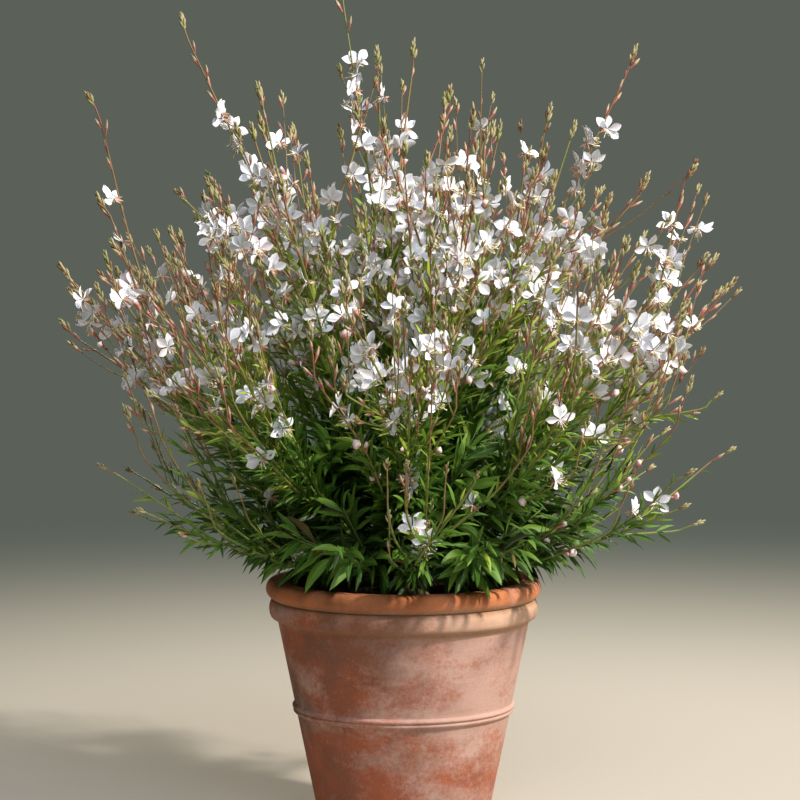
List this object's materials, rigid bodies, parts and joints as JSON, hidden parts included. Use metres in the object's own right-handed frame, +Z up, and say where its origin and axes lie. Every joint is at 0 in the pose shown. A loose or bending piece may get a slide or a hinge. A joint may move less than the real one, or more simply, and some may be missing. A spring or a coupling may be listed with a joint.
{
  "type": "potted gaura",
  "caption": "Airy white-flowered gaura with leafy stems and budded wands fanning from one root crown in a round terracotta pot.",
  "frame": {"origin": "centre of the pot's flat underside", "axes": "+Z up along the pot's axis, -Y towards the viewer of the picture, +X to the picture's right"},
  "size_m": [0.736, 0.7303, 0.9206],
  "materials": {
    "terracotta": "weathered matte",
    "potting_mix": "moist crumbly",
    "woody_crown": "rough bark",
    "green_stems": "smooth green bark",
    "leaves": "satin leaf",
    "wands_and_blossom": "soft petal"
  },
  "bodies": {
    "root": {"pot": "terracotta", "soil": "potting_mix", "root_crown": "woody_crown", "stem_01": "green_stems", "stem_02": "green_stems", "stem_03": "green_stems", "stem_04": "green_stems", "stem_05": "green_stems", "stem_06": "green_stems", "stem_07": "green_stems", "stem_08": "green_stems", "stem_09": "green_stems", "stem_10": "green_stems", "stem_11": "green_stems", "stem_12": "green_stems", "stem_13": "green_stems", "stem_14": "green_stems", "stem_15": "green_stems", "stem_16": "green_stems", "stem_17": "green_stems", "stem_18": "green_stems", "stem_19": "green_stems", "stem_20": "green_stems", "leafy_mass_01": "leaves", "leafy_mass_02": "leaves", "leafy_mass_03": "leaves", "leafy_mass_04": "leaves", "leafy_mass_05": "leaves", "leafy_mass_06": "leaves", "leafy_mass_07": "leaves", "leafy_mass_08": "leaves", "leafy_mass_09": "leaves", "flower_mass_01": "wands_and_blossom", "flower_mass_02": "wands_and_blossom", "flower_mass_03": "wands_and_blossom", "flower_mass_04": "wands_and_blossom", "flower_mass_05": "wands_and_blossom", "flower_mass_06": "wands_and_blossom", "flower_mass_07": "wands_and_blossom", "flower_mass_08": "wands_and_blossom", "flower_mass_09": "wands_and_blossom", "flower_mass_10": "wands_and_blossom", "flower_mass_11": "wands_and_blossom", "flower_mass_12": "wands_and_blossom", "flower_mass_13": "wands_and_blossom", "flower_mass_14": "wands_and_blossom", "flower_mass_15": "wands_and_blossom", "flower_mass_16": "wands_and_blossom", "flower_mass_17": "wands_and_blossom", "flower_mass_18": "wands_and_blossom", "flower_mass_19": "wands_and_blossom", "flower_mass_20": "wands_and_blossom"}
  },
  "joints": []
}
